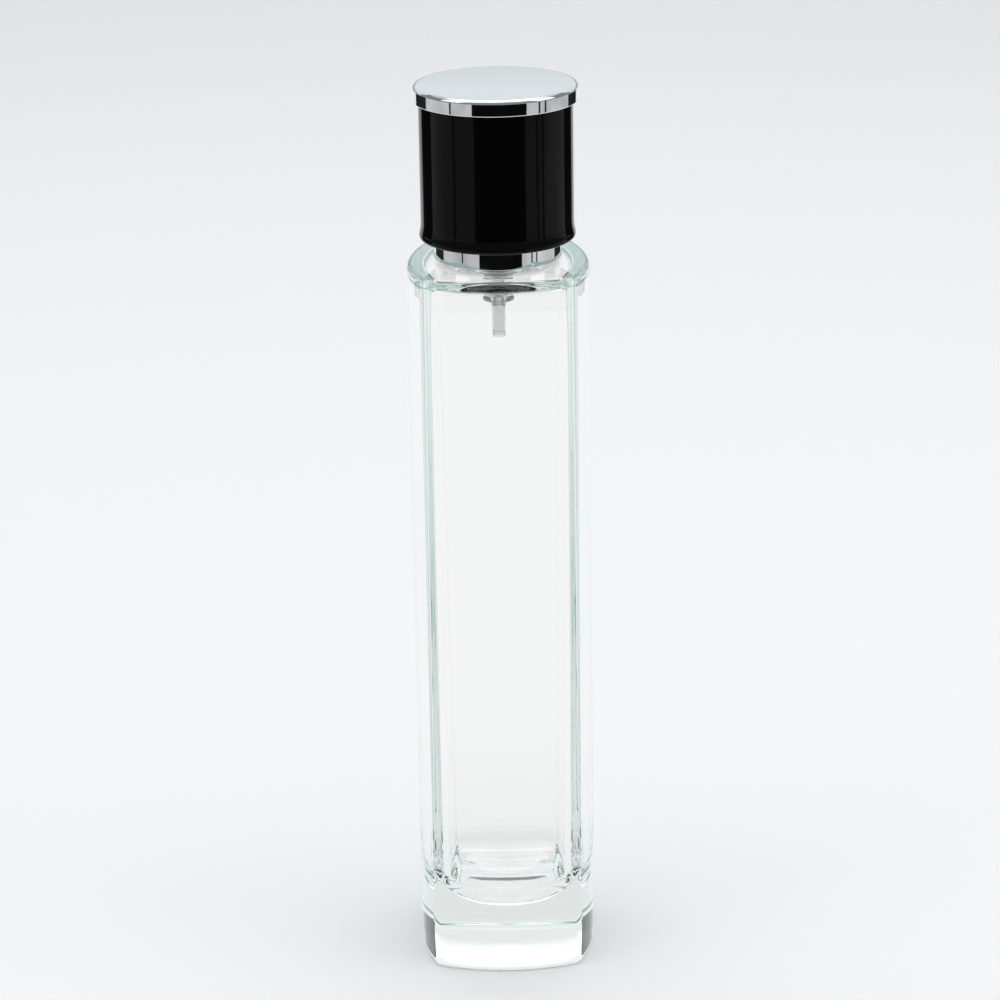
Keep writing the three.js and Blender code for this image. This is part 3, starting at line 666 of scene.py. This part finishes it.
def returnSpring(p):
    # round wire, wound with a closed turn at each end
    foot, top = low("return_spring"), high("return_spring")
    centreRadius = radiusOf("return_spring") - p["wire"]
    # the share of the wire that lies in each closed end, and how far it climbs there
    closed, endRise = 0.75 / p["springTurns"], p["wire"] * 1.8
    openRise = top - foot - 2 * p["wire"] - 2 * endRise
    steps, around = 260, 12
    path = []
    for i in range(steps + 1):
        t = i / steps
        rise = min(max((t - closed) / (1 - 2 * closed), 0), 1)
        dead = min(t, closed) + max(0, t - 1 + closed)
        height = foot + p["wire"] + dead / closed * endRise + rise * openRise
        angle = 2 * math.pi * p["springTurns"] * t
        path.append(Vector((centreRadius * math.cos(angle), centreRadius * math.sin(angle), height)))
    vertices, faces = [], []
    for i, place in enumerate(path):
        along = (path[min(i + 1, steps)] - path[max(i - 1, 0)]).normalized()
        out = Vector((place.x, place.y, 0)).normalized()
        up = along.cross(out).normalized()
        out = up.cross(along)
        for k in range(around):
            a = 2 * math.pi * k / around
            vertices.append(place + (out * math.cos(a) + up * math.sin(a)) * p["wire"])
    for i in range(steps):
        for k in range(around):
            j = (k + 1) % around
            faces.append((i * around + k, i * around + j, (i + 1) * around + j, (i + 1) * around + k))
    faces.append(tuple(range(around)))
    faces.append(tuple(steps * around + k for k in range(around)))
    wound = meshObject("return_spring_look", vertices, faces, steelLook, "bottle",
                       ["return_spring"])
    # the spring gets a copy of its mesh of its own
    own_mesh(wound)


def inletBall():
    lowCorner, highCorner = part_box("inlet_ball")
    centre = (lowCorner + highCorner) / 2 / mm
    radius, steps = (highCorner.z - lowCorner.z) / 2 / mm, 24
    angles = [math.pi * i / steps for i in range(1, steps)]
    arc = [(radius * math.sin(a), centre.z - radius * math.cos(a), 0) for a in angles]
    arc = [(0, centre.z - radius, 0), *arc, (0, centre.z + radius, 0)]
    turned("inlet_ball_look", arc, steelLook, "ball", 48)


pumpHousing(pump)
stemGuideAndGasket(pump)
stemAndPiston(pump)
returnSpring(pump)
inletBall()
print("pump made")


# button

button = {"radius": radiusOf("button_shell"), "wall": 0.4, "gap": 0.05, "edge": 0.9, "dish": 0.35,
          "nozzleRadius": 2, "nozzleLength": 2.8, "nozzleSet": 0.35, "nozzleRim": 0.3, "orifice": 0.2,
          "channelRadius": 0.35, "skirtWall": 1.1, "postWall": 1.2}


def buttonPieces(b):
    foot, top = low("button_shell"), high("button_shell")
    nozzleHeight = (low("nozzle_insert") + high("nozzle_insert")) / 2
    outer, inner, under = b["radius"], b["radius"] - b["wall"], top - b["wall"]
    outside = -outer - 2
    shell = turned("button_shell_look",
                   [(0, under, 0), (inner, under, 0.5), (inner, foot, 0.1), (outer, foot, 0.15),
                    (outer, top, b["edge"]), (outer * 0.6, top - b["dish"] * 0.6, 3),
                    (0, top - b["dish"], 0)], chromeLook, "button")
    window = b["nozzleRadius"] + b["nozzleRim"]
    combine(shell, crossCutter(window, outside, 0, nozzleHeight, 64), "DIFFERENCE")
    body, bodyTop, bodyFoot = inner - b["gap"], under - b["gap"], foot + 0.2
    socket, post, skirt = pump["stem"] + pump["seal"], pump["stem"] + b["postWall"], body - b["skirtWall"]
    postFoot, web = foot + 0.6, nozzleHeight - b["nozzleRadius"] - 0.8
    channel, stemTop = pump["stemBore"], high("stem") + b["gap"]
    core = turned("button_body_look",
                  [(socket, postFoot, 0.15), (post, postFoot, 0.2), (post, web, 0.3), (skirt, web, 0.3),
                   (skirt, bodyFoot, 0.15), (body, bodyFoot, 0.15), (body, bodyTop, 0.6), (0, bodyTop, 0),
                   (0, nozzleHeight + channel, 0), (channel, nozzleHeight + channel, 0),
                   (channel, stemTop, 0), (socket, stemTop, 0)], whiteLook, "button")
    # the nozzle's seat, the post inside the nozzle, and the channel that feeds it
    face, length, radius = -(outer - b["nozzleSet"]), b["nozzleLength"], b["nozzleRadius"]
    seat, swirl = face + length + b["gap"], radius - 0.9
    combine(core, crossCutter(radius + b["gap"], outside, seat, nozzleHeight, 64), "DIFFERENCE")
    combine(core, crossCutter(swirl, face + 1.1, seat + 0.5, nozzleHeight, 32), "UNION")
    feed = crossCutter(b["channelRadius"], face + length - 0.3, 0, nozzleHeight + swirl + 0.1, 16)
    combine(core, feed, "DIFFERENCE")
    # nozzle cup, turned about Z and then laid along Y
    cup = swirl + 0.25
    vertices, faces = turnedMesh([(b["orifice"], 0.3, 0.03), (0.7, 0, 0.1), (radius, 0, 0.2),
                                  (radius, length, 0.15), (cup, length, 0.1), (cup, 1, 0.1),
                                  (b["orifice"], 1, 0.03)], 64)
    laid = [(x, face + z, nozzleHeight + y) for x, y, z in vertices]
    meshObject("nozzle_insert_look", laid, faces, whiteLook, "button", ["nozzle_insert"])


buttonPieces(button)
print("button made")


# cap

cap = {"radius": 15, "lipRadius": radiusOf("cap_shell"), "lipHeight": 0.9, "flare": 3.4, "bore": 13.75,
       "ledge": 12.75, "ledgeHeight": 0.8, "plateRadius": radiusOf("cap_top_plate"), "plateHeight": 3.28,
       "plateRoof": 1.36, "spigot": 2.2, "spigotWall": 0.9, "plateRound": 0.9, "gap": 0.05,
       "grip": 12.8, "linerWall": 0.86, "cup": 11.8, "cupWall": 0.9, "linerRoof": 1.2,
       "ribs": 8, "ribReach": 0.1, "ribRoot": 0.4, "ribWidth": 1}


def capShell(c):
    foot, top = low("cap_shell"), high("cap_shell")
    ledgeTop = top - c["spigot"] - c["gap"]
    ledgeFoot, lipTop = ledgeTop - c["ledgeHeight"], foot + c["lipHeight"]
    flareSteps = 10
    flare = []
    for i in range(1, flareSteps + 1):
        share = i / flareSteps
        flare.append((c["radius"] + (c["lipRadius"] - c["radius"]) * (1 - share) ** 2,
                      lipTop + (c["flare"] - c["lipHeight"]) * share, 0))
    turned("cap_shell_look",
           [(c["bore"], foot, 0.3), (c["lipRadius"], foot, 0.5), (c["lipRadius"], lipTop, 0), *flare,
            (c["radius"], top, 0.1), (c["bore"], top, 0.1), (c["bore"], ledgeTop, 0.05),
            (c["ledge"], ledgeTop, 0.05), (c["ledge"], ledgeFoot, 0.05), (c["bore"], ledgeFoot, 0.05)],
           blackLook, "cap", 192)


def capPlate(c):
    top = high("cap_top_plate")
    foot, under = top - c["plateHeight"], top - c["plateRoof"]
    skirt, outer, spigotFoot = c["radius"] + c["gap"], c["plateRadius"], under - c["spigot"]
    spigotOuter = c["bore"] - c["gap"]
    spigotInner = spigotOuter - c["spigotWall"]
    turned("cap_top_plate_look",
           [(0, under, 0), (spigotInner, under, 0.1), (spigotInner, spigotFoot, 0.1),
            (spigotOuter, spigotFoot, 0.1), (spigotOuter, under, 0.05), (skirt, under, 0.05),
            (skirt, foot, 0.1), (outer, foot, 0.2), (outer, top, c["plateRound"]), (0, top, 0)],
           chromeLook, "cap", 192)


def capLiner(c):
    foot, top = low("cap_liner"), high("cap_liner")
    grip, outer, step = c["grip"], c["grip"] + c["linerWall"], high("collar_shell") + c["gap"]
    cupOuter, roof, waist = c["cup"] + c["cupWall"], top - c["linerRoof"], step + 1.2
    liner = turned("cap_liner_look",
                   [(0, roof, 0), (c["cup"], roof, 0.6), (c["cup"], step, 0.1), (grip, step, 0.1),
                    (grip, foot + 0.5, 0.2), (grip + 0.3, foot, 0.15), (outer, foot, 0.1),
                    (outer, waist, 0.1), (cupOuter, waist, 0.2), (cupOuter, roof, 0.2), (outer, roof, 0.1),
                    (outer, top, 0.1), (0, top, 0)], whiteLook, "cap")
    # crush ribs that hold the cap on the collar
    made = bmesh.new()
    ribFoot, ribTop, depth = foot + 1, step - 0.5, c["ribReach"] + c["ribRoot"]
    middle = ((grip - c["ribReach"] + depth / 2) * mm, 0, (ribFoot + ribTop) / 2 * mm)
    size = Matrix.Diagonal((depth * mm, c["ribWidth"] * mm, (ribTop - ribFoot) * mm, 1))
    for i in range(c["ribs"]):
        turn = Matrix.Rotation(2 * math.pi * (i + 0.5) / c["ribs"], 4, "Z")
        bmesh.ops.create_cube(made, size=1, matrix=turn @ Matrix.Translation(middle) @ size)
    combine(liner, toolObject("ribs", made), "UNION")


capShell(cap)
capPlate(cap)
capLiner(cap)
print("cap made")


# studio: pale floor and wall, soft lamps, and cards that only reflections and glass see

studio = {"floor": "f3f4f4", "floorTooth": "f4f6f7", "wallDistance": 1500, "sweep": 400, "height": 1600,
          "width": 4000, "front": 2500, "cardNear": 500, "cardFar": 2400, "cardHeight": 2,
          "overheadCard": 2200, "overheadHeight": 1400,
          "sideDistance": 800, "sideDepth": 1900, "sideFoot": 60, "sideTop": 1100}

# painted shade and light that glass and mirrors see on the paper, and the paper's fade into the air
# each range is (from, to) in brightness, then (from, to) in millimetres away from the bottle or up
paper = {"shade": ((0.93, 1), (35, 110)), "paintedWallLight": ((1, 1.5), (720, 1050)),
         "paintedMirrorShade": ((1, 0.42), (5, 60)), "paintedMirrorRise": ((0, 0.54), (300, 520)),
         "intoAir": ((0, 1), (1250, 2000))}
cardFade = {"level": 0.93, "from": 520, "to": 1500}


def rangeOf(tree, source, span):
    (first, last), (fromFirst, fromLast) = span
    return mapTo(tree, source, first, last, fromFirst * mm, fromLast * mm)


def distanceAway(tree):
    # distance from the bottle's foot, and the position it comes from
    place = addNode(tree, "ShaderNodeTexCoord")
    length = addNode(tree, "ShaderNodeVectorMath", {"operation": "LENGTH"}, {0: place.outputs["Object"]})
    return length.outputs["Value"], place.outputs["Object"]


def paintedSweep():
    # matt paper sweep: pale, faintly cool, with a little tooth, and painted shade and light for glass and
    # mirrors
    material, tree = newMaterial("paperSweep")
    tooth = objectNoise(tree, 3, 3)
    colour = mixColours(tree, studio["floor"], studio["floorTooth"], tooth.outputs["Fac"])
    body = addNode(tree, "ShaderNodeBsdfPrincipled", {"Roughness": 0.9, "Specular IOR Level": 0.1},
                   {"Base Color": colour})
    away, place = distanceAway(tree)
    up = addNode(tree, "ShaderNodeSeparateXYZ", links={0: place}).outputs["Z"]
    # glass sees the paper with painted light and shade: a painted shadow close round the foot, and a painted
    # brighter wall high up
    paintedThroughGlass = mathNode(tree, "MULTIPLY", rangeOf(tree, away, paper["shade"]),
                           rangeOf(tree, up, paper["paintedWallLight"]))
    refracted = addNode(tree, "ShaderNodeEmission", {"Color": hexColour("f9f9f9")},
                        {"Strength": paintedThroughGlass})
    # mirrors see a painted dark band at the foot of the wall, which draws the far rim of the cap's disc
    paintedInMirrors = mathNode(tree, "ADD", rangeOf(tree, up, paper["paintedMirrorShade"]),
                            rangeOf(tree, up, paper["paintedMirrorRise"]))
    reflected = addNode(tree, "ShaderNodeEmission", {"Color": hexColour("f2f8fa")},
                        {"Strength": paintedInMirrors})
    path = addNode(tree, "ShaderNodeLightPath").outputs
    # the painted views: painted shade and light for glass, a painted dark band for mirrors
    paintedView = mixShaders(tree, path["Is Transmission Ray"], reflected.outputs[0], refracted.outputs[0])
    indirect = mathNode(tree, "MAXIMUM", path["Is Glossy Ray"], path["Is Transmission Ray"])
    # far off, the paper fades into the air behind it
    distant = mathNode(tree, "MULTIPLY", rangeOf(tree, away, paper["intoAir"]), path["Is Camera Ray"])
    air = addNode(tree, "ShaderNodeEmission", {"Color": hexColour("f2f3f4"), "Strength": 1})
    seen = mixShaders(tree, distant, body.outputs[0], air.outputs[0])
    finishSurface(tree, mixShaders(tree, indirect, seen, paintedView))
    return material


def stageMesh(name, vertices, faces, material):
    mesh = bpy.data.meshes.new(name)
    mesh.from_pydata([Vector(v) * mm for v in vertices], [], faces)
    made = placeObject(name, mesh)
    mesh.materials.append(material)
    mesh.polygons.foreach_set("use_smooth", [True] * len(mesh.polygons))
    return made


def paperSweep(s):
    bendStart, bendSteps = s["wallDistance"] - s["sweep"], 16
    profile = [(-s["front"], 0), (bendStart, 0)]
    for i in range(1, bendSteps + 1):
        a = math.pi / 2 * i / bendSteps
        profile.append((bendStart + s["sweep"] * math.sin(a), s["sweep"] * (1 - math.cos(a))))
    profile.append((s["wallDistance"], s["height"]))
    vertices = [(side * s["width"] / 2, y, z) for side in (-1, 1) for y, z in profile]
    count = len(profile)
    faces = [(i, i + 1, count + i + 1, count + i) for i in range(count - 1)]
    stageMesh("paper_sweep", vertices, faces, paintedSweep())


def cardMaterial(name, level, through):
    # mirrors see one brightness; glass sees a paler one that fades into the paper close to the bottle
    material, tree = newMaterial(name)
    uneven = objectNoise(tree, 420, 1)
    mirrored = addNode(tree, "ShaderNodeEmission", {"Color": (level, level, level, 1)},
                       {"Strength": mapTo(tree, uneven.outputs["Fac"], 0.75, 1.2)})
    fade = ((max(through, cardFade["level"]), through), (cardFade["from"], cardFade["to"]))
    refracted = addNode(tree, "ShaderNodeEmission", {"Color": (1, 1, 1, 1)},
                        {"Strength": rangeOf(tree, distanceAway(tree)[0], fade)})
    path = addNode(tree, "ShaderNodeLightPath").outputs
    both = mixShaders(tree, path["Is Transmission Ray"], mirrored.outputs[0], refracted.outputs[0])
    finishSurface(tree, both)
    return material


def darkRoom():
    # unlit room: nearly black with faint clouds, which gives the glass its grey edges
    material, tree = newMaterial("darkRoom")
    cloud = objectNoise(tree, 600, 1)
    dim = addNode(tree, "ShaderNodeEmission", {"Color": (1, 1, 1, 1)},
                  {"Strength": mapTo(tree, cloud.outputs["Fac"], 0.03, 0.08)})
    finishSurface(tree, dim.outputs[0])
    return material


def reflectionCard(name, vertices, faces, material):
    card = stageMesh(name, vertices, faces, material)
    card.visible_camera = False
    card.visible_diffuse = False
    card.visible_shadow = False
    card.visible_volume_scatter = False
    return card


# what mirrors and glass see on the table, going round from the front to the right:
# degrees from, degrees to, brightness
tableTones = [(-33, 43, 0.004), (43, 61, 0.6), (61, 64, 0.04), (64, 71, 0.6), (71, 74, 0.04),
              (74, 120, 0.62), (120, 149, 0.02), (-144, -112, 0.02), (-112, -67, 0.62), (-67, -64, 0.04),
              (-64, -33, 0.6)]


def tableCards(s):
    for index, (first, last, level) in enumerate(tableTones):
        steps = max(1, round((last - first) / 12))
        vertices, faces = [], []
        for step in range(steps + 1):
            a = math.radians(first + (last - first) * step / steps)
            vertices += [(r * math.sin(a), -r * math.cos(a), s["cardHeight"])
                         for r in (s["cardNear"], s["cardFar"])]
        for step in range(steps):
            faces.append((2 * step, 2 * step + 1, 2 * step + 3, 2 * step + 2))
        # glass sees the dark cards paler than mirrors do
        material = cardMaterial(f"card{index}", level, 0.22 + 0.7 * level)
        reflectionCard(f"table_card_{index}", vertices, faces, material)


def roomCards(s):
    # dark room at the sides and in front, seen only through glass
    dark = darkRoom()
    x, y, foot, top = s["sideDistance"], s["sideDepth"] / 2, s["sideFoot"], s["sideTop"]
    sides = {"left": ((-x, -y), (-x, y)), "right": ((x, y), (x, -y)), "front": ((-x, -y), (x, -y))}
    for name, (start, end) in sides.items():
        corners = [(*start, foot), (*end, foot), (*end, top), (*start, top)]
        reflectionCard(f"{name}_card", corners, [(0, 1, 2, 3)], dark).visible_glossy = False
    half, height = s["overheadCard"] / 2, s["overheadHeight"]
    corners = [(-half, -half, height), (half, -half, height), (half, half, height), (-half, half, height)]
    reflectionCard("overhead_card", corners, [(0, 1, 2, 3)], cardMaterial("overheadCard", 0.85, 0.95))


# place, target and size in metres, power in watts
lamps = {"overhead_lamp": {"place": (0, 0.1, 1.3), "target": (0, 0.1, 0), "size": (1.2, 1.2), "power": 6.65},
         "left_lamp": {"place": (-1.2, -0.5, 1.0), "target": (0, 0, 0.1), "size": (0.8, 1.0), "power": 3},
         "right_lamp": {"place": (1.2, -0.3, 0.9), "target": (0, 0, 0.1), "size": (0.8, 1.0), "power": 3}}


def softLamp(name, lamp):
    data = bpy.data.lights.new(name, "AREA")
    data.shape = "RECTANGLE"
    data.size, data.size_y = lamp["size"]
    data.energy = lamp["power"]
    placed = placeObject(name, data)
    placed.location = lamp["place"]
    towards = Vector(lamp["target"]) - Vector(lamp["place"])
    placed.rotation_euler = towards.to_track_quat("-Z", "Y").to_euler()


def studioWorld():
    # the air lights the room softly, mirrors see it dim, and the camera and glass see it pale
    world = bpy.data.worlds.new("studioAir")
    bpy.context.scene.world = world
    world.use_nodes = True
    tree = world.node_tree
    tree.nodes.clear()
    path = addNode(tree, "ShaderNodeLightPath").outputs
    room = addNode(tree, "ShaderNodeBackground", {"Color": hexColour("f5f6f6"), "Strength": 0.635})
    dim = addNode(tree, "ShaderNodeBackground", {"Color": hexColour("8a8d90"), "Strength": 1})
    bright = addNode(tree, "ShaderNodeBackground", {"Color": hexColour("f2f3f4"), "Strength": 1})
    direct = mathNode(tree, "MAXIMUM", path["Is Camera Ray"], path["Is Transmission Ray"])
    unseen = mixShaders(tree, path["Is Glossy Ray"], room.outputs[0], dim.outputs[0])
    last = mixShaders(tree, direct, unseen, bright.outputs[0])
    addNode(tree, "ShaderNodeOutputWorld", links={"Surface": last})


paperSweep(studio)
tableCards(studio)
roomCards(studio)
studioWorld()
for lampName, lamp in lamps.items():
    softLamp(lampName, lamp)
# thick glass passes light on many times
bpy.context.scene.cycles.max_bounces = 160
bpy.context.scene.cycles.transmission_bounces = 64
bpy.context.scene.cycles.glossy_bounces = 160
print("studio made")


# camera, placed in millimetres and aimed in degrees

view = {"sensor": 36, "lens": 119.07, "place": (-0.343, -627.26, 317.78), "downTilt": 19.42, "roll": -0.904}


def addCamera(v):
    camera = placeObject("camera", bpy.data.cameras.new("camera"))
    camera.data.sensor_width = v["sensor"]
    camera.data.lens = v["lens"]
    camera.data.clip_start, camera.data.clip_end = 0.01, 20
    camera.location = [part * mm for part in v["place"]]
    tilt = Matrix.Rotation(math.radians(90 - v["downTilt"]), 4, "X")
    camera.rotation_euler = (tilt @ Matrix.Rotation(math.radians(v["roll"]), 4, "Z")).to_euler()
    return camera


bpy.context.scene.camera = addCamera(view)
bpy.context.scene.view_settings.view_transform = "Standard"

print("done")
